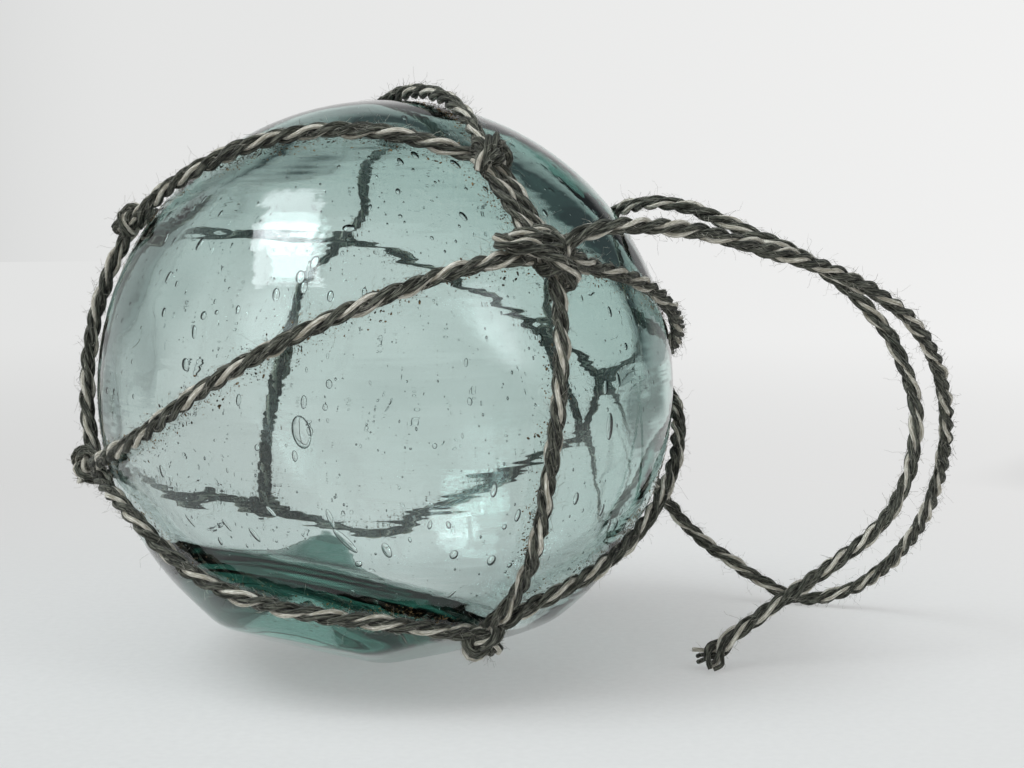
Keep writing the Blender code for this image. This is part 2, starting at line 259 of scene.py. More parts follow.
def camera():
    lens = bpy.data.cameras.new("camera")
    lens.lens = CAMERA_LENS
    lens.sensor_width = SENSOR_WIDTH
    lens.sensor_fit = "HORIZONTAL"
    lens.clip_start = 0.01
    lens.clip_end = 20.0
    eye = bpy.data.objects.new("camera", lens)
    eye.location = CAMERA_PLACE
    eye.rotation_euler = (radians(CAMERA_TILT), 0.0, 0.0)
    bpy.context.collection.objects.link(eye)
    bpy.context.scene.camera = eye
    bpy.context.scene.view_settings.view_transform = "Standard"


def fill_socket(tree, socket, value):
    """Link a socket to another node's output, or give it a plain value."""
    if isinstance(value, bpy.types.NodeSocket):
        tree.links.new(value, socket)
    else:
        socket.default_value = value


def add_node(tree, kind, values=None, **settings):
    """New node with its settings, and its inputs by name or number."""
    node = tree.nodes.new(kind)
    for name, value in settings.items():
        setattr(node, name, value)
    for name, value in (values or {}).items():
        fill_socket(tree, node.inputs[name], value)
    return node


def maths(tree, operation, *terms):
    node = add_node(tree, "ShaderNodeMath", operation=operation)
    for socket, term in zip(node.inputs, terms):
        fill_socket(tree, socket, term)
    return node.outputs[0]


def times(tree, first, second):
    return maths(tree, "MULTIPLY", first, second)


def vector_maths(tree, operation, *terms):
    node = add_node(tree, "ShaderNodeVectorMath", operation=operation)
    names = (0, "Scale") if operation == "SCALE" else (0, 1, 2)
    for name, term in zip(names, terms):
        fill_socket(tree, node.inputs[name], term)
    number_out = operation in ("DOT_PRODUCT", "LENGTH", "DISTANCE")
    return node.outputs["Value" if number_out else "Vector"]


def scaled(tree, vector, amount):
    return vector_maths(tree, "SCALE", vector, amount)


def stretch(tree, value, low, high, to_low=0.0, to_high=1.0, smooth=False):
    """Map a value from one range to another, held at the ends."""
    node = add_node(tree, "ShaderNodeMapRange", clamp=True)
    node.interpolation_type = "SMOOTHSTEP" if smooth else "LINEAR"
    for name, amount in zip(("Value", "From Min", "From Max", "To Min", "To Max"),
                            (value, low, high, to_low, to_high)):
        fill_socket(tree, node.inputs[name], amount)
    return node.outputs["Result"]


def mix_colours(tree, amount, first, second, blend="MIX"):
    node = add_node(tree, "ShaderNodeMix", data_type="RGBA", blend_type=blend)
    fill_socket(tree, node.inputs["Factor"], amount)
    colours = [socket for socket in node.inputs if socket.type == "RGBA"]
    for socket, colour in zip(colours, (first, second)):
        if not isinstance(colour, bpy.types.NodeSocket):
            colour = (*colour, 1.0)
        fill_socket(tree, socket, colour)
    return next(socket for socket in node.outputs if socket.type == "RGBA")


def noise(tree, place, scale, detail=2.0, roughness=0.5):
    values = {"Vector": place, "Scale": scale, "Detail": detail, "Roughness": roughness}
    return add_node(tree, "ShaderNodeTexNoise", values).outputs[0]


def object_place(tree):
    return add_node(tree, "ShaderNodeTexCoord").outputs["Object"]


def made_of(tree, x, y, z):
    """Vector from its three numbers."""
    return add_node(tree, "ShaderNodeCombineXYZ", {"X": x, "Y": y, "Z": z}).outputs[0]


def paper_colour(tree, sideways):
    """Colour of the pale paper sweep, a little brighter towards the right."""
    return mix_colours(tree, stretch(tree, sideways, -0.3, 0.3), SWEEP_LEFT, SWEEP_RIGHT)


def sweep_colour(tree, sideways, backwards, height):
    """The paper behind the ball and near the horizon, and the greyer room round the sides."""
    left = stretch(tree, sideways, *SWEEP_LEFT_EDGE, smooth=True)
    right = stretch(tree, sideways, *SWEEP_RIGHT_EDGE, 1.0, 0.0, smooth=True)
    behind = stretch(tree, backwards, 0.0, 0.3, smooth=True)
    low = stretch(tree, height, *HORIZON_BAND, HORIZON_SHARE, 0.0, smooth=True)
    shown = maths(tree, "MAXIMUM", times(tree, times(tree, left, right), behind), low)
    return mix_colours(tree, shown, SWEEP_SIDE, paper_colour(tree, sideways))


def window_light(tree, way, middle, across, half_size, lean, softness, brightness):
    """Brightness of one window with soft, slightly uneven edges, seen along each way."""
    middle = Vector(middle).normalized()
    across = Vector(across)
    across = (across - middle * across.dot(middle)).normalized()
    up = middle.cross(across)
    uneven = maths(tree, "SUBTRACT", noise(tree, way, 11.0, 4.0), 0.5)
    sideways = vector_maths(tree, "DOT_PRODUCT", way, tuple(across))
    height = vector_maths(tree, "DOT_PRODUCT", way, tuple(up))
    height = maths(tree, "MULTIPLY_ADD", uneven, WINDOW_WOBBLE_UP, height)
    sideways = maths(tree, "MULTIPLY_ADD", height, lean, sideways)
    sideways = maths(tree, "MULTIPLY_ADD", uneven, WINDOW_WOBBLE_ACROSS, sideways)
    shown = stretch(tree, vector_maths(tree, "DOT_PRODUCT", way, tuple(middle)), 0.1, 0.2)
    for place, half in zip((sideways, height), half_size):
        edge = stretch(tree, maths(tree, "ABSOLUTE", place), half - softness, half + softness,
                       1.0, 0.0, smooth=True)
        shown = times(tree, shown, edge)
    return times(tree, shown, brightness)


def room_light():
    """Pale sweep up to a height, a dim room above it, and the windows in the room."""
    world = bpy.data.worlds.new("room")
    bpy.context.scene.world = world
    world.use_nodes = True
    tree = world.node_tree
    way = add_node(tree, "ShaderNodeTexCoord").outputs["Generated"]
    sideways, backwards, height = add_node(tree, "ShaderNodeSeparateXYZ", {"Vector": way}).outputs
    pale = sweep_colour(tree, sideways, backwards, height)
    drop = maths(tree, "MAXIMUM", maths(tree, "SUBTRACT", sideways, SWEEP_DROP_START), 0.0)
    above = maths(tree, "MULTIPLY_ADD", drop, SWEEP_DROP, height)
    low = stretch(tree, above, SWEEP_TOP, ROOM_MIDDLE_HEIGHT, smooth=True)
    high = stretch(tree, above, ROOM_MIDDLE_HEIGHT, ROOM_START, smooth=True)
    room = mix_colours(tree, high, mix_colours(tree, low, pale, ROOM_MIDDLE), ROOM_ABOVE)
    bright = 0.0
    for window in WINDOWS:
        bright = maths(tree, "ADD", window_light(tree, way, *window), bright)
    shown = vector_maths(tree, "ADD", room, scaled(tree, WINDOW_TINT, bright))
    tree.links.new(shown, tree.nodes["Background"].inputs["Color"])


def new_material(name, values=None):
    """New material with plain values on its shader's own inputs."""
    material = bpy.data.materials.new(name)
    material.use_nodes = True
    tree = material.node_tree
    shader = tree.nodes["Principled BSDF"]
    for label, value in (values or {}).items():
        shader.inputs[label].default_value = value
    return material, tree, shader


def add_bump(tree, shader, height, distance):
    bump = add_node(tree, "ShaderNodeBump",
                    {"Height": height, "Strength": 1.0, "Distance": distance})
    tree.links.new(bump.outputs[0], shader.inputs["Normal"])


def blotched(name, scale, edges, dark, light, roughness):
    """Matt finish in two colours that change from blotch to blotch."""
    material, tree, shader = new_material(name, {"Roughness": roughness})
    blotches = stretch(tree, noise(tree, object_place(tree), scale), *edges)
    tree.links.new(mix_colours(tree, blotches, dark, light), shader.inputs["Base Color"])
    return material


def mesh_data(name, mesh, material=None):
    """Mesh of this name from the faces gathered so far."""
    data = bpy.data.meshes.new(name)
    mesh.to_mesh(data)
    mesh.free()
    if material:
        data.materials.append(material)
    return data


def sweep_floor():
    """Matt pale paper near the ball, which fades into the sweep's own brightness further out.

    Even next to the ball a share of the paper is a glow, painted light that softens the ball's
    shadow. The glass gathers light on the paper behind the ball, out of the camera's sight. A
    painted glow there stands for it, and lights the seal. Far out at each side the floor is
    dimmer.
    """
    material, tree, paper = new_material(
        "sweep_paper", {"Roughness": 0.9, "Specular IOR Level": 0.2})
    place = object_place(tree)
    x = add_node(tree, "ShaderNodeSeparateXYZ", {"Vector": place}).outputs["X"]
    away = vector_maths(tree, "LENGTH", place)
    # Share of glow: never below FLOOR_LEAST_GLOW near the ball, painted light that softens the
    # ball's shadow
    fade = stretch(tree, away, *FLOOR_FADE, FLOOR_LEAST_GLOW, smooth=True)
    # Painted pool of light behind the ball, standing for the light the glass gathers
    from_caustic = vector_maths(tree, "DISTANCE", place, CAUSTIC_PLACE)
    caustic = stretch(tree, from_caustic, 0.0, CAUSTIC_RADIUS, 1.0, 0.0, smooth=True)
    fade = maths(tree, "MAXIMUM", fade, caustic)
    sideways = maths(tree, "DIVIDE", x, maths(tree, "ADD", away, EYE_ALLOWANCE))
    grain = stretch(tree, noise(tree, place, 900.0, 4.0), 0.3, 0.7, *PAPER_GRAIN)
    shade = add_node(tree, "ShaderNodeCombineColor",
                     {name: times(tree, grain, level)
                      for name, level in zip(("Red", "Green", "Blue"), PAPER_COLOUR)})
    tree.links.new(shade.outputs[0], paper.inputs["Base Color"])
    level = stretch(tree, away, *FLOOR_DIM_EDGE, FLOOR_DIM, 1.0, smooth=True)
    beside = maths(tree, "DIVIDE", maths(tree, "ABSOLUTE", x), away)
    beside = stretch(tree, beside, *FLOOR_SIDE_EDGE, smooth=True)
    beside = times(tree, beside, stretch(tree, away, *FLOOR_SIDE_START))
    level = times(tree, level, stretch(tree, beside, 0.0, 1.0, 1.0, FLOOR_SIDE_DIM))
    glow = add_node(tree, "ShaderNodeEmission",
                    {"Color": paper_colour(tree, sideways), "Strength": level})
    both = add_node(tree, "ShaderNodeMixShader",
                    {"Fac": fade, 1: paper.outputs[0], 2: glow.outputs[0]})
    tree.links.new(both.outputs[0], tree.nodes["Material Output"].inputs["Surface"])
    mesh = bmesh.new()
    bmesh.ops.create_circle(mesh, cap_ends=True, segments=96, radius=FLOOR_RADIUS)
    floor = bpy.data.objects.new("sweep_floor", mesh_data("sweep_floor", mesh, material))
    bpy.context.collection.objects.link(floor)


def fill_light():
    """Large square light in front and above, which shines at the ball and isn't mirrored in it."""
    data = bpy.data.lights.new("fill", "AREA")
    data.shape = "RECTANGLE"
    data.size = FILL_SIZE
    data.size_y = FILL_SIZE
    data.energy = FILL_POWER
    lamp = bpy.data.objects.new("fill", data)
    place = Vector(FILL_PLACE)
    back = (place - CENTRE).normalized()
    across = Vector((1.0, 0.0, 0.0))
    side = (across - back * across.dot(back)).normalized()
    turn = Matrix((side, back.cross(side), back)).transposed().to_4x4()
    lamp.matrix_world = Matrix.Translation(place) @ turn
    lamp.visible_glossy = False
    bpy.context.collection.objects.link(lamp)


def leaning_down(right, front):
    """Unit vector pointing down, leaning by these angles to the right and to the front."""
    return Vector((tan(radians(right)), -tan(radians(front)), -1.0)).normalized()


SEAL_AXIS = leaning_down(*SEAL_LEAN)
SEAL_BUMP_AXIS = leaning_down(*SEAL_BUMP_LEAN)
HEEL_AXIS = leaning_down(*HEEL_LEAN)


def on_ball(place, radius):
    """Point at a longitude and latitude, at this radius from the ball's centre."""
    longitude, latitude = (radians(angle) for angle in place)
    across = cos(latitude)
    outward = Vector((sin(longitude) * across, -cos(longitude) * across, sin(latitude)))
    return CENTRE + outward * radius


def soft_lower(first, second, softness):
    """The lower of two distances, with the crease between them rounded."""
    near = np.clip(softness - np.abs(first - second), 0.0, None) / softness
    return np.minimum(first, second) - near**2 * softness / 4


def plane_reach(directions, axis, distance):
    """Distance from the centre to a plane along each direction, far away where it isn't met."""
    along = directions @ np.array(axis)
    return distance / np.clip(along, 0.05, None)


def swells(directions, waves, seed):
    """Smooth random swells over the ball, about -1 to 1, from a few plain waves."""
    draw = np.random.default_rng(seed)
    total = np.zeros(len(directions))
    for _ in range(7):
        way = draw.normal(size=3)
        way *= waves * draw.uniform(0.6, 1.3) / np.linalg.norm(way)
        total += np.sin(directions @ way + draw.uniform(0, 2 * pi))
    return total / 2.6


def degrees_from(directions, axis):
    return np.degrees(np.arccos(np.clip(directions @ np.array(axis), -1, 1)))


def outer_reach(directions):
    """Distance from the ball's centre to its outer surface along each direction."""
    seal_angle = degrees_from(directions, SEAL_AXIS)
    lean = np.radians(np.clip(SEAL_SKIRT_ANGLE - seal_angle, 0, None))
    round_part = BALL_RADIUS / np.cos(lean)
    face = plane_reach(directions, SEAL_AXIS, BALL_RADIUS - SEAL_FACE_DEPTH)
    face = face - SEAL_FACE_SWELL * (1 + swells(directions, 14.0, 5))
    reach = soft_lower(round_part, face, SEAL_RIM_SOFTNESS)
    heel = plane_reach(directions, HEEL_AXIS, BALL_RADIUS - HEEL_DEPTH)
    reach = soft_lower(reach, heel, HEEL_SOFTNESS)
    reach = reach - BALL_SWELL * (1 + swells(directions, 9.0, 8))
    flat = plane_reach(directions, -UP, BALL_RADIUS - FLAT_SPOT_DEPTH)
    return soft_lower(reach, flat, FLAT_SPOT_SOFTNESS)


def inner_reach(directions):
    """Distance from the ball's centre to the inside of its wall along each direction."""
    wall = WALL + THICK_SIDE_EXTRA * directions @ np.array(THICK_SIDE.normalized())
    wall = -soft_lower(-wall, np.full(len(wall), -LEAST_WALL), LEAST_WALL_SOFTNESS)
    wall = wall + WALL_SWELL * swells(directions, 7.0, 21)
    wall = wall + WALL_FINE_SWELL * swells(directions, 22.0, 22)
    floor = plane_reach(directions, SEAL_AXIS, SEAL_FLOOR_DISTANCE)
    reach = soft_lower(BALL_RADIUS - wall, floor, SEAL_FLOOR_SOFTNESS)
    from_bump = degrees_from(directions, SEAL_BUMP_AXIS)
    bump = SEAL_BUMP_HEIGHT * np.exp(-((from_bump / SEAL_BUMP_WIDTH) ** 2))
    return reach - bump * (1 + SEAL_BUMP_UNEVENNESS * swells(directions, 5.0, 31))


def turned_surface(mesh, reach, sides, rings, outwards):
    """Closed surface about the seal's axis, its faces pointing away from the centre or to it."""
    turn = UP.rotation_difference(SEAL_AXIS).to_matrix()
    ways = [UP]
    for ring in range(1, rings):
        angle = pi * ring / rings
        for side in range(sides):
            around = 2 * pi * side / sides
            ways.append(Vector((sin(angle) * cos(around), sin(angle) * sin(around), cos(angle))))
    ways.append(-UP)
    directions = np.array([turn @ way for way in ways])
    places = np.array(CENTRE) + directions * reach(directions)[:, None]
    spots = [mesh.verts.new(place) for place in places]

    def face(*corners):
        corners = corners if outwards else corners[::-1]
        mesh.faces.new([spots[corner] for corner in corners])

    def number(ring, side):
        return 1 + (ring - 1) * sides + side % sides

    for side in range(sides):
        face(0, number(1, side), number(1, side + 1))
        face(len(spots) - 1, number(rings - 1, side + 1), number(rings - 1, side))
        for ring in range(1, rings - 1):
            face(number(ring, side), number(ring + 1, side),
                 number(ring + 1, side + 1), number(ring, side + 1))


def clear_glass(name):
    return new_material(name, {"Base Color": (1.0, 1.0, 1.0, 1.0), "IOR": GLASS_IOR,
                               "Transmission Weight": 1.0, "Roughness": 0.0})


def sea_glass():
    """Clear sea-green glass: its colour is in its depth, its surface has fine level ripples."""
    material, tree, shader = clear_glass("sea_green_glass")
    place = object_place(tree)
    waves = noise(tree, vector_maths(tree, "MULTIPLY", place, WAVE_SPREAD), 1.0, 1.0)
    ripples = noise(tree, vector_maths(tree, "MULTIPLY", place, RIPPLE_SPREAD), 1.0, 1.0)
    height = maths(tree, "ADD", times(tree, waves, WAVE_SHARE), ripples)
    add_bump(tree, shader, height, RIPPLE_HEIGHT)
    depth = add_node(tree, "ShaderNodeVolumeAbsorption",
                     {"Color": GLASS_COLOUR, "Density": GLASS_DENSITY})
    tree.links.new(depth.outputs[0], tree.nodes["Material Output"].inputs["Volume"])
    return material


def new_piece(name, data, slot_name, *nodes):
    """Object of a finished piece, which rides on the part."""
    piece = bpy.data.objects.new(name, data)
    bpy.context.collection.objects.link(piece)
    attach(piece, "root")
    if nodes:
        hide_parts(*nodes)
    return piece


def blown_ball(glass):
    """The glass wall, with its outer and inner surface in one mesh."""
    mesh = bmesh.new()
    turned_surface(mesh, outer_reach, SURFACE_SIDES, SURFACE_RINGS, True)
    turned_surface(mesh, inner_reach, SURFACE_SIDES, SURFACE_RINGS, False)
    data = mesh_data("blown_ball", mesh, glass)
    data.shade_smooth()
    new_piece("blown_ball", data, "glass", "glass_ball")


def surface_object(name, reach, sides, rings):
    """Plain object of one turned surface, for a tree to grow on."""
    mesh = bmesh.new()
    turned_surface(mesh, reach, sides, rings, True)
    return bpy.data.objects.new(name, mesh_data(name, mesh))


def wall_middle():
    return surface_object(
        "middle of the wall", lambda ways: (outer_reach(ways) + inner_reach(ways)) / 2, 96, 64
    )


def ball_skin():
    return surface_object("ball skin", lambda ways: outer_reach(ways) + FLAKE_CLEARANCE, 144, 96)


def smooth_route(points, step):
    """Points about a step apart along a smooth curve through the route's own points."""
    points = [Vector(point) for point in points]
    ends = [points[0] * 2 - points[1]] + points + [points[-1] * 2 - points[-2]]
    fine = [points[0]]
    for before, start, end, after in zip(ends, ends[1:], ends[2:], ends[3:]):
        for number in range(1, 17):
            t = number / 16
            bend_start = (end - before) / 2
            bend_end = (after - start) / 2
            fine.append(
                start * (2 * t**3 - 3 * t**2 + 1)
                + bend_start * (t**3 - 2 * t**2 + t)
                + end * (3 * t**2 - 2 * t**3)
                + bend_end * (t**3 - t**2)
            )
    spans = [(b - a).length for a, b in zip(fine, fine[1:])]
    count = max(2, round(sum(spans) / step))
    spacing = sum(spans) / count
    even = [fine[0]]
    walked = 0.0
    for start, end, span in zip(fine, fine[1:], spans):
        while len(even) < count and walked + span >= spacing * len(even):
            even.append(start.lerp(end, (spacing * len(even) - walked) / span))
        walked += span
    even.append(fine[-1])
    return even


def strand_route(first, last, between, sideways=0.0):
    """Points of a strand that lies on the glass from one knot to another."""
    places = [KNOTS[first][0], *between, KNOTS[last][0]]
    route = smooth_route([on_ball(place, NET_RADIUS) for place in places], ROUTE_STEP)
    points = []
    for number, point in enumerate(route):
        outward = (point - CENTRE).normalized()
        ahead = route[min(number + 1, len(route) - 1)] - route[max(number - 1, 0)]
        aside = ahead.cross(outward).normalized() * sideways
        points.append(CENTRE + (outward * NET_RADIUS + aside).normalized() * NET_RADIUS)
    return points


def knot_route(name):
    """One length of twine passed over and under itself three times, drawn tight into a lump."""
    place, heading, size = KNOTS[name]
    outward = (on_ball(place, 1.0) - CENTRE).normalized()
    level = UP.cross(outward).normalized()
    along = (Matrix.Rotation(radians(heading), 3, outward) @ level).normalized()
    turn = Matrix((along, outward.cross(along), outward)).transposed()
    half = KNOT_SIZE * (size / 2)
    middle = on_ball(place, BALL_RADIUS + TWINE_CLEARANCE + half.z)
    reach = half - Vector((TWINE_RADIUS, TWINE_RADIUS, TWINE_RADIUS))
    points = []
    for number in range(KNOT_POINTS + 1):
        t = pi / 6 + 2 * pi * number / KNOT_POINTS
        spot = Vector(((sin(t) + 2 * sin(2 * t)) / 3, (cos(t) - 2 * cos(2 * t)) / 3, -sin(3 * t)))
        points.append(middle + turn @ Vector(a * b for a, b in zip(spot, reach)))
    return points


def knot_turn_routes():
    """Routes of the further turns that some knots have."""
    return [
        smooth_route([on_ball((east, north), NET_RADIUS + height / 1000)
                      for east, north, height in turn], ROUTE_STEP)
        for turns in KNOT_TURNS.values() for turn in turns
    ]


def random_between(tree, low, high, seed, step=0):
    """Random number on each point, from a seed that is this many steps on."""
    if step:
        seed = maths(tree, "ADD", seed, step)
    return add_node(tree, "FunctionNodeRandomValue", {2: low, 3: high, "Seed": seed},
                    data_type="FLOAT").outputs[1]


def mostly_small(tree, seed, step, power, smallest, largest):
    """Random size on each point, more often near the smallest."""
    draw = maths(tree, "POWER", random_between(tree, 0.0, 1.0, seed, step), power)
    return stretch(tree, draw, 0.0, 1.0, smallest, largest)


def position(tree):
    return add_node(tree, "GeometryNodeInputPosition").outputs[0]


def moved_by(tree, geometry, offset):
    return add_node(tree, "GeometryNodeSetPosition",
                    {"Geometry": geometry, "Offset": offset}).outputs[0]


def round_line(tree, normal, aside, angle):
    """Way out from a line at an angle round it."""
    out = scaled(tree, normal, maths(tree, "COSINE", angle))
    side = scaled(tree, aside, maths(tree, "SINE", angle))
    return vector_maths(tree, "ADD", out, side)


def planted(tree, points, thing, turn, size):
    """Real copies of a thing on each point, turned and sized there."""
    copies = add_node(tree, "GeometryNodeInstanceOnPoints",
                      {"Points": points, "Instance": thing, "Rotation": turn, "Scale": size})
    return add_node(tree, "GeometryNodeRealizeInstances",
                    {"Geometry": copies.outputs[0]}).outputs[0]


def stored(tree, geometry, name, value, kind="FLOAT"):
    """Keep a value on each point under a name, for the finish to read."""
    values = {"Geometry": geometry, "Name": name, "Value": value}
    return add_node(tree, "GeometryNodeStoreNamedAttribute", values, data_type=kind).outputs[0]


def resting(tree, geometry, height):
    """Lift whatever lies lower than this height above the floor up to it."""
    x, y, z = add_node(tree, "ShaderNodeSeparateXYZ", {0: position(tree)}).outputs
    lifted = made_of(tree, x, y, maths(tree, "MAXIMUM", z, height))
    return add_node(tree, "GeometryNodeSetPosition",
                    {"Geometry": geometry, "Position": lifted}).outputs[0]


def close_tree(tree, geometry, material):
    """End of every tree here: real mesh, smooth faces, one material."""
    real = add_node(tree, "GeometryNodeRealizeInstances", {"Geometry": geometry}).outputs[0]
    smooth = add_node(tree, "GeometryNodeSetShadeSmooth", {"Geometry": real}).outputs[0]
    done = add_node(tree, "GeometryNodeSetMaterial",
                    {"Geometry": smooth, "Material": material}).outputs[0]
    tree.interface.new_socket(name="Geometry", in_out="OUTPUT", socket_type="NodeSocketGeometry")
    tree.links.new(done, tree.nodes.new("NodeGroupOutput").inputs[0])
    return tree


def open_tree(name, numbers, counts=(), objects=()):
    """New tree with its named inputs: lengths, counts, objects and the material."""
    tree = bpy.data.node_groups.new(name, "GeometryNodeTree")
    for kind, labels in (("Geometry", ("Geometry",)), ("Float", numbers), ("Int", counts),
                         ("Object", objects), ("Material", ("Material",))):
        for label in labels:
            tree.interface.new_socket(name=label, in_out="INPUT", socket_type="NodeSocket" + kind)
    return tree, tree.nodes.new("NodeGroupInput").outputs


def laid_twine_tree():
    """Yarns laid into plies and plies into twine along every spline that comes in."""
    tree, given = open_tree(
        "laid twine", (*TWINE_MEASURES, "Frayed Length", "Fray Spread"), TWINE_COUNTS
    )
    line = add_node(tree, "GeometryNodeResampleCurve",
                    {"Curve": given["Geometry"], "Length": given["Step"]}, mode="LENGTH")
    amount = times(tree, given["Plies"], given["Yarns in Ply"])
    copies = add_node(tree, "GeometryNodeDuplicateElements",
                      {"Geometry": line.outputs[0], "Amount": amount}, domain="SPLINE")
    number = copies.outputs["Duplicate Index"]
    ply = maths(tree, "FLOOR", maths(tree, "DIVIDE", number, given["Yarns in Ply"]))
    yarn = maths(tree, "MODULO", number, given["Yarns in Ply"])
    walk = add_node(tree, "GeometryNodeSplineParameter").outputs["Length"]
    whole = add_node(tree, "GeometryNodeSplineLength").outputs["Length"]

    # Plies turn one way round the twine, and yarns the other way round their ply
    ply_turns = maths(tree, "SUBTRACT", maths(tree, "DIVIDE", ply, given["Plies"]),
                      maths(tree, "DIVIDE", walk, given["Ply Pitch"]))
    yarn_turns = maths(tree, "ADD", maths(tree, "DIVIDE", yarn, given["Yarns in Ply"]),
                       maths(tree, "DIVIDE", walk, given["Yarn Pitch"]))
    ply_angle = times(tree, ply_turns, 2 * pi)
    yarn_angle = maths(tree, "MULTIPLY_ADD", yarn_turns, 2 * pi, ply_angle)
    frayed_from = maths(tree, "SUBTRACT", whole, given["Frayed Length"])
    fray = stretch(tree, walk, frayed_from, whole)
    spread = maths(tree, "MULTIPLY_ADD", fray, given["Fray Spread"], 1.0)
    normal = add_node(tree, "GeometryNodeInputNormal").outputs["Normal"]
    tangent = add_node(tree, "GeometryNodeInputTangent").outputs[0]
    aside = vector_maths(tree, "CROSS_PRODUCT", tangent, normal)

    # Two plies have one pale yarn each, which is thicker and stands out further
    in_pale_ply = maths(tree, "LESS_THAN", ply, 1.5)
    pale = times(tree, in_pale_ply, maths(tree, "LESS_THAN", yarn, 0.5))
    stand_out = maths(tree, "MULTIPLY_ADD", pale, given["Pale Stand Out"], 1.0)
    yarn_offset = times(tree, given["Yarn Offset"], stand_out)
    ply_place = scaled(tree, round_line(tree, normal, aside, ply_angle), given["Ply Offset"])
    yarn_place = scaled(tree, round_line(tree, normal, aside, yarn_angle), yarn_offset)
    offset = scaled(tree, vector_maths(tree, "ADD", ply_place, yarn_place), spread)
    wander = add_node(tree, "ShaderNodeTexNoise",
                      {"Vector": position(tree), "W": times(tree, number, 3.7),
                       "Scale": 420.0, "Detail": 1.0}, noise_dimensions="4D")
    centred = vector_maths(tree, "SUBTRACT", wander.outputs["Color"], (0.5, 0.5, 0.5))
    looser = maths(tree, "MULTIPLY_ADD", fray, 6.0, 1.0)
    shift = scaled(tree, centred, times(tree, given["Unevenness"], looser))
    moved = moved_by(tree, copies.outputs["Geometry"], vector_maths(tree, "ADD", offset, shift))

    kept = resting(tree, moved, given["Yarn Radius"])
    for name, value in (("walk", walk), ("yarn", number), ("pale", pale)):
        kept = stored(tree, kept, name, value)
    swell = maths(tree, "MULTIPLY_ADD", pale, maths(tree, "SUBTRACT", given["Pale Swell"], 1.0),
                  stretch(tree, wander.outputs[0], 0.2, 0.8, 0.86, 1.14))
    thick = add_node(tree, "GeometryNodeSetCurveRadius", {"Curve": kept, "Radius": swell})
    circle = add_node(tree, "GeometryNodeCurvePrimitiveCircle",
                      {"Resolution": given["Yarn Sides"], "Radius": given["Yarn Radius"]})
    around = vector_maths(tree, "NORMALIZE", position(tree))
    profile = stored(tree, circle.outputs[0], "around", around, "FLOAT_VECTOR")
    tube = add_node(tree, "GeometryNodeCurveToMesh",
                    {"Curve": thick.outputs[0], "Profile Curve": profile, "Fill Caps": True})
    return close_tree(tree, tube.outputs[0], given["Material"])


def stray_fibre_tree():
    """Fine curled fibres that stand off a line of twine."""
    tree, given = open_tree(
        "stray fibres",
        ("Spacing", "Shortest", "Longest", "Root Radius", "Fibre Radius", "Curl", "Stand Off",
         "Lean"),
        ("Bends", "Seed"),
    )
    seed = given["Seed"]
    spots = add_node(tree, "GeometryNodeCurveToPoints",
                     {"Curve": given["Geometry"], "Length": given["Spacing"]}, mode="LENGTH")
    normal, tangent = spots.outputs["Normal"], spots.outputs["Tangent"]
    aside = vector_maths(tree, "CROSS_PRODUCT", tangent, normal)
    out = round_line(tree, normal, aside, random_between(tree, 0.0, 2 * pi, seed))
    lean = times(tree, given["Lean"], random_between(tree, -1.0, 1.0, seed, 1))
    round_twine = scaled(tree, vector_maths(tree, "CROSS_PRODUCT", tangent, out),
                         random_between(tree, -0.6, 0.6, seed, 5))
    way = vector_maths(tree, "ADD", scaled(tree, out, given["Stand Off"]),
                       scaled(tree, tangent, lean))
    way = vector_maths(tree, "ADD", way, round_twine)
    rooted = moved_by(tree, spots.outputs["Points"], scaled(tree, out, given["Root Radius"]))
    line = add_node(tree, "GeometryNodeCurvePrimitiveLine", {"End": (0.0, 0.0, 1.0)})
    bent = add_node(tree, "GeometryNodeResampleCurve",
                    {"Curve": line.outputs[0], "Count": given["Bends"]})
    length = mostly_small(tree, seed, 2, 2.5, given["Shortest"], given["Longest"])
    turn = add_node(tree, "FunctionNodeAlignRotationToVector", {"Vector": way}, axis="Z")
    fibres = planted(tree, rooted, bent.outputs[0], turn.outputs[0], length)
    swirl = add_node(tree, "ShaderNodeTexNoise",
                     {"Vector": position(tree), "Scale": 760.0, "Detail": 1.0}).outputs["Color"]
    centred = vector_maths(tree, "SUBTRACT", swirl, (0.5, 0.5, 0.5))
    share = add_node(tree, "GeometryNodeSplineParameter").outputs["Factor"]
    curl = scaled(tree, centred, times(tree, share, given["Curl"]))
    rested = resting(tree, moved_by(tree, fibres, curl), given["Fibre Radius"])
    thin = add_node(tree, "GeometryNodeSetCurveRadius",
                    {"Curve": rested, "Radius": stretch(tree, share, 0.0, 1.0, 1.0, 0.35)})
    circle = add_node(tree, "GeometryNodeCurvePrimitiveCircle",
                      {"Resolution": 3, "Radius": given["Fibre Radius"]})
    tube = add_node(tree, "GeometryNodeCurveToMesh",
                    {"Curve": thin.outputs[0], "Profile Curve": circle.outputs[0],
                     "Fill Caps": True})
    return close_tree(tree, tube.outputs[0], given["Material"])


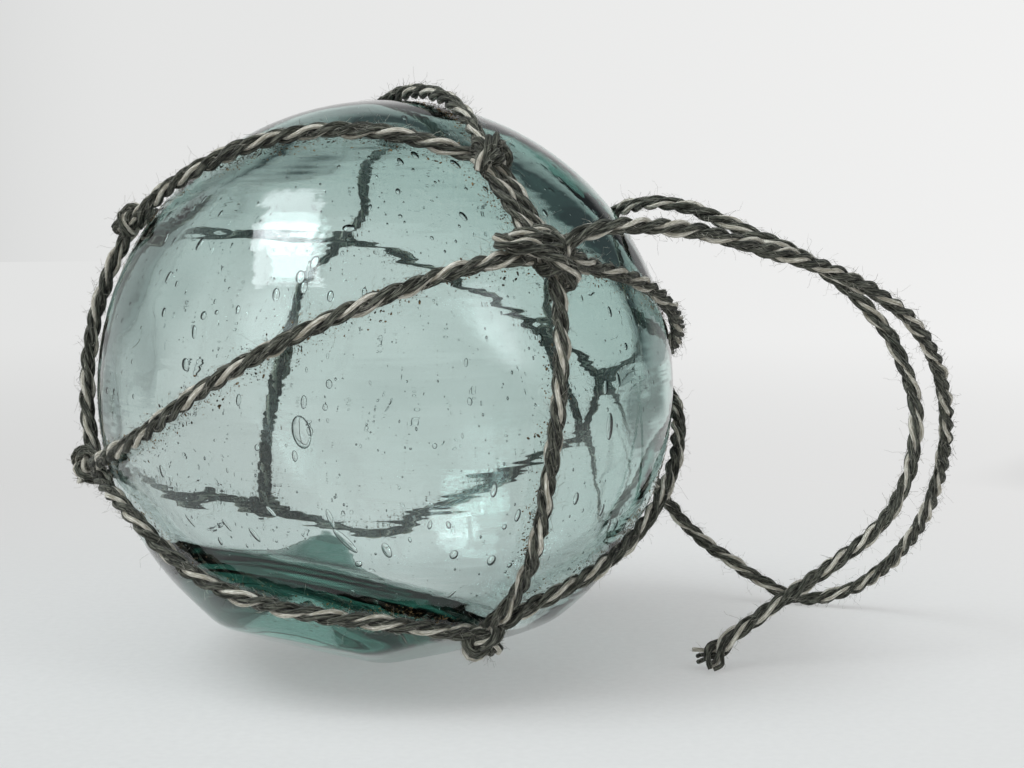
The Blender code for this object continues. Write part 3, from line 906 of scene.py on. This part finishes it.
def seed_bubble_tree():
    """Bubbles spread through a shell inside the glass wall, drawn out along the ball."""
    tree, given = open_tree(
        "seeds in the glass",
        ("Density", "Smallest", "Largest", "Depth Range", "Drawn Out", "Flatness"),
        ("Roundness", "Seed"),
    )
    seed = given["Seed"]
    spots = add_node(tree, "GeometryNodeDistributePointsOnFaces",
                     {"Mesh": given["Geometry"], "Density": given["Density"], "Seed": seed})
    outward = spots.outputs["Normal"]
    deep = times(tree, random_between(tree, -0.5, 0.5, seed, 1), given["Depth Range"])
    placed = moved_by(tree, spots.outputs["Points"], scaled(tree, outward, deep))
    bubble = add_node(tree, "GeometryNodeMeshIcoSphere",
                      {"Radius": 1.0, "Subdivisions": given["Roundness"]})
    size = mostly_small(tree, seed, 2, 2.5, given["Smallest"], given["Largest"])
    upright = made_of(tree, random_between(tree, -0.35, 0.15, seed, 3), 0.0, 1.0)
    facing = add_node(tree, "FunctionNodeAlignRotationToVector", {"Vector": outward}, axis="Z")
    turn = add_node(tree, "FunctionNodeAlignRotationToVector",
                    {"Rotation": facing.outputs[0], "Vector": upright},
                    axis="Y", pivot_axis="Z")
    long_side = random_between(tree, 1.0, given["Drawn Out"], seed, 4)
    shape = made_of(tree, 1.0, long_side, given["Flatness"])
    bubbles = planted(tree, placed, bubble.outputs["Mesh"], turn.outputs[0],
                      scaled(tree, shape, size))
    flipped = add_node(tree, "GeometryNodeFlipFaces", {"Mesh": bubbles})
    return close_tree(tree, flipped.outputs[0], given["Material"])


def drawn_bubbles(skin):
    """The large bubbles, flattened in the wall and drawn out along it."""
    mesh = bmesh.new()
    for east, north, length, width, lean in LARGE_BUBBLES:
        outward = on_ball((east, north), 1.0) - CENTRE
        way = np.array([outward])
        middle = CENTRE + outward * float(outer_reach(way)[0] + inner_reach(way)[0]) / 2
        up = (UP - outward * outward.z).normalized()
        up = Matrix.Rotation(radians(-lean), 3, outward) @ up
        half = Vector((width, length, width * BUBBLE_FLATNESS)) / 2000
        turn = Matrix((up.cross(outward), up, outward)).transposed().to_4x4()
        place = Matrix.Translation(middle) @ turn @ Matrix.Diagonal((*half, 1.0))
        bmesh.ops.create_icosphere(mesh, subdivisions=3, radius=1.0, matrix=place)
    bmesh.ops.recalc_face_normals(mesh, faces=mesh.faces)
    bmesh.ops.reverse_faces(mesh, faces=mesh.faces)
    data = mesh_data("drawn_bubbles", mesh, skin)
    data.shade_smooth()
    new_piece("drawn_bubbles", data, "glass")


def residue_tree():
    """Small flakes of old tar and dust on the glass, thick along the twine."""
    tree, given = open_tree(
        "residue",
        ("Density", "Reach", "Smallest", "Largest"),
        ("Corners", "Seed"),
        ("Twine",),
    )
    seed = given["Seed"]
    twine = add_node(tree, "GeometryNodeObjectInfo", {"Object": given["Twine"]})
    edges = add_node(tree, "GeometryNodeCurveToMesh", {"Curve": twine.outputs["Geometry"]})
    near = add_node(tree, "GeometryNodeProximity", {0: edges.outputs[0]},
                    target_element="EDGES")
    close = stretch(tree, near.outputs["Distance"], TWINE_RADIUS, given["Reach"], 1.0, 0.0)
    patch = stretch(tree, noise(tree, position(tree), 110.0, 3.0), 0.38, 0.60)
    dense = times(tree, maths(tree, "POWER", close, 2.0), patch)
    spots = add_node(tree, "GeometryNodeDistributePointsOnFaces",
                     {"Mesh": given["Geometry"], "Seed": seed,
                      "Density": times(tree, dense, given["Density"])})
    flake = add_node(tree, "GeometryNodeMeshCone",
                     {"Vertices": given["Corners"], "Side Segments": 1, "Fill Segments": 1,
                      "Radius Top": 0.35, "Radius Bottom": 1.0, "Depth": 1.2})
    size = mostly_small(tree, seed, 1, 3.0, given["Smallest"], given["Largest"])
    shape = made_of(tree, random_between(tree, 0.8, 2.2, seed, 2), 1.0, 0.4)
    own_turn = add_node(tree, "FunctionNodeAxisAngleToRotation",
                        {"Axis": (0.0, 0.0, 1.0),
                         "Angle": random_between(tree, 0.0, pi, seed, 3)})
    spin = add_node(tree, "FunctionNodeRotateRotation",
                    {0: spots.outputs["Rotation"], 1: own_turn.outputs[0]},
                    rotation_space="LOCAL")
    flakes = planted(tree, spots.outputs["Points"], flake.outputs["Mesh"], spin.outputs[0],
                     scaled(tree, shape, size))
    return close_tree(tree, flakes, given["Material"])


def grown(source, tree, values, name):
    """Plain mesh that a tree makes from an object, with the source object removed."""
    bpy.context.collection.objects.link(source)
    growth = source.modifiers.new(tree.name, "NODES")
    growth.node_group = tree
    sockets = {item.name: item.identifier for item in tree.interface.items_tree
               if item.item_type == "SOCKET" and item.in_out == "INPUT"}
    for label, value in values.items():
        growth[sockets[label]] = value
    bpy.context.view_layer.update()
    graph = bpy.context.evaluated_depsgraph_get()
    data = bpy.data.meshes.new_from_object(
        source.evaluated_get(graph), preserve_all_data_layers=True, depsgraph=graph
    )
    data.name = name
    source.modifiers.remove(growth)
    bpy.data.objects.remove(source, do_unlink=True)
    return data


def lines_object(name, routes):
    """Curve object with one open spline for each route."""
    data = bpy.data.curves.new(name, "CURVE")
    data.dimensions = "3D"
    data.resolution_u = 1
    for route in routes:
        spline = data.splines.new("POLY")
        spline.points.add(len(route) - 1)
        for spot, point in zip(spline.points, route):
            spot.co = (*point, 1.0)
    return bpy.data.objects.new(name, data)


def grown_pieces(slot_name, new_source, tree, shared, labels, *rows):
    """A piece for each row: its name, then its own value for each labelled input of the tree."""
    for name, *row in rows:
        data = grown(new_source(), tree, {**shared, **dict(zip(labels, row))}, name)
        new_piece(name, data, slot_name)


def laid_twine(name, routes, tree, yarn, frayed=0.0):
    """Mesh of laid twine along each route."""
    values = {**TWINE_MEASURES, **TWINE_COUNTS, "Frayed Length": max(frayed, 0.0001),
              "Fray Spread": FRAY_SPREAD if frayed else 0.0, "Material": yarn}
    return grown(lines_object(name + "_lines", routes), tree, values, name)


def attribute(tree, name, output):
    return add_node(tree, "ShaderNodeAttribute", attribute_name=name).outputs[output]


def tarred_yarn():
    """Dark tarred fibres and pale undyed ones, streaked along each yarn."""
    material, tree, shader = new_material(
        "tarred_yarn", {"Specular IOR Level": 0.25, "Sheen Weight": 0.15, "Sheen Roughness": 0.5})
    walk, yarn, pale = (attribute(tree, name, "Fac") for name in ("walk", "yarn", "pale"))
    around = attribute(tree, "around", "Vector")
    twist = maths(tree, "MULTIPLY_ADD", yarn, 7.3, times(tree, walk, 560.0))
    spread = vector_maths(tree, "MULTIPLY_ADD", around, (1.5, 1.5, 0.0),
                          made_of(tree, 0.0, 0.0, twist))
    coarse = noise(tree, spread, 1.0, 3.0, 0.72)
    fine = noise(tree, vector_maths(tree, "MULTIPLY", spread, (3.0, 3.0, 1.9)), 1.0, 1.0)
    fibres = maths(tree, "ADD", times(tree, coarse, 0.6), times(tree, fine, 0.4))
    patches = noise(tree, object_place(tree), 260.0, 3.0)
    streak = stretch(tree, fibres, 0.43, 0.59)
    dark = mix_colours(tree, maths(tree, "POWER", streak, 1.6), (0.008, 0.009, 0.006),
                       (0.185, 0.19, 0.15))
    cream = mix_colours(tree, streak, (0.36, 0.33, 0.255), (0.90, 0.87, 0.78))
    soiled = mix_colours(tree, stretch(tree, patches, 0.52, 0.76, 0.0, 0.45), cream,
                         (0.24, 0.205, 0.145))
    pale_here = stretch(tree, maths(tree, "MULTIPLY_ADD", fibres, 0.5, pale), 0.55, 0.95)
    pale_here = times(tree, pale_here, pale)
    tree.links.new(mix_colours(tree, pale_here, dark, soiled), shader.inputs["Base Color"])
    tree.links.new(stretch(tree, fibres, 0.3, 0.7, 0.95, 0.78), shader.inputs["Roughness"])
    add_bump(tree, shader, fibres, 0.00028)
    return material


def free_cords(twine_tree, yarn):
    """The two free ends of the twine."""
    loop, tail = ([Vector([value / 1000 for value in point]) for point in points]
                  for points in (LOOP_ROUTE, TAIL_ROUTE))
    loop.insert(0, on_ball(KNOTS["front"][0], NET_RADIUS + LOOP_START_HEIGHT))
    loop.append(on_ball(KNOTS["loop_knot"][0], NET_RADIUS))
    tail.insert(0, on_ball(KNOTS["tail_knot"][0], NET_RADIUS))
    routes = []
    for name, node, points, far_end, frayed in (
        ("loop_end", "loop_cord", loop, "object", 0.0),
        ("frayed_end", "tail_cord", tail, "bare", FRAYED_LENGTH),
    ):
        route = smooth_route(points, ROUTE_STEP)
        piece = new_piece(name, laid_twine(name, [route], twine_tree, yarn, frayed), "twine", node)
        routes.append(route)
    return routes


def net(twine_tree, yarn):
    """The net's strands in front, those behind, and its knots."""
    front = [strand_route(*strand) for strand in FRONT_STRANDS]
    for side in (-1, 1):
        front.append(strand_route(*DOUBLE_STRAND, side * DOUBLE_STRAND_SPACING / 2))
    back = [strand_route(*strand) for strand in BACK_STRANDS]
    knots = [knot_route(name) for name in KNOTS] + knot_turn_routes()
    for name, routes in (("net_front", front), ("net_back", back), ("net_knots", knots)):
        new_piece(name, laid_twine(name, routes, twine_tree, yarn), "twine", "net")
    return front + back + knots


def main():
    camera()
    room_light()
    sweep_floor()
    fill_light()
    twine_tree = laid_twine_tree()
    yarn = tarred_yarn()
    cord_routes = free_cords(twine_tree, yarn)
    net_routes = net(twine_tree, yarn)
    fibre_tree = stray_fibre_tree()
    loose = blotched("loose_fibre", 700.0, (0.45, 0.60), (0.13, 0.125, 0.105),
                     (0.52, 0.50, 0.43), 0.7)
    grown_pieces(
        "twine", lambda: lines_object("fibre lines", cord_routes + net_routes), fibre_tree,
        {"Root Radius": FIBRE_ROOT_RADIUS, "Lean": FIBRE_LEAN, "Material": loose},
        ("Spacing", "Shortest", "Longest", "Fibre Radius", "Curl", "Stand Off", "Bends", "Seed"),
        ("stray_fibres", 0.00030, 0.0006, 0.0030, 0.000012, 0.0032, 0.6, 5, 4),
        ("short_fuzz", 0.00014, 0.0006, 0.0017, 0.000020, 0.0012, 0.26, 3, 7),
    )
    blown_ball(sea_glass())
    bubble_skin = clear_glass("bubble_skin")[0]
    drawn_bubbles(bubble_skin)
    grown_pieces(
        "glass", wall_middle, seed_bubble_tree(),
        {"Depth Range": SEED_DEPTH_RANGE, "Material": bubble_skin},
        ("Density", "Smallest", "Largest", "Drawn Out", "Flatness", "Roundness", "Seed"),
        ("fine_seeds", 260000.0, 0.00003, 0.00016, 1.9, 0.8, 1, 12),
        ("large_seeds", 32000.0, 0.00013, 0.00044, 2.3, 0.24, 2, 40),
    )
    lines = lines_object("residue lines", net_routes)
    bpy.context.collection.objects.link(lines)
    tar = blotched("old_tar", 500.0, (0.4, 0.62), (0.035, 0.028, 0.018), (0.26, 0.17, 0.075),
                   0.85)
    grown_pieces(
        "twine", ball_skin, residue_tree(), {"Twine": lines, "Material": tar},
        ("Density", "Reach", "Smallest", "Largest", "Corners", "Seed"),
        ("old_tar_flakes", 1.0e7, 0.0028, 0.00004, 0.00017, 5, 6),
        ("brown_dust", 3.8e7, 0.0022, 0.00004, 0.00013, 3, 9),
    )
    bpy.data.objects.remove(lines, do_unlink=True)


main()
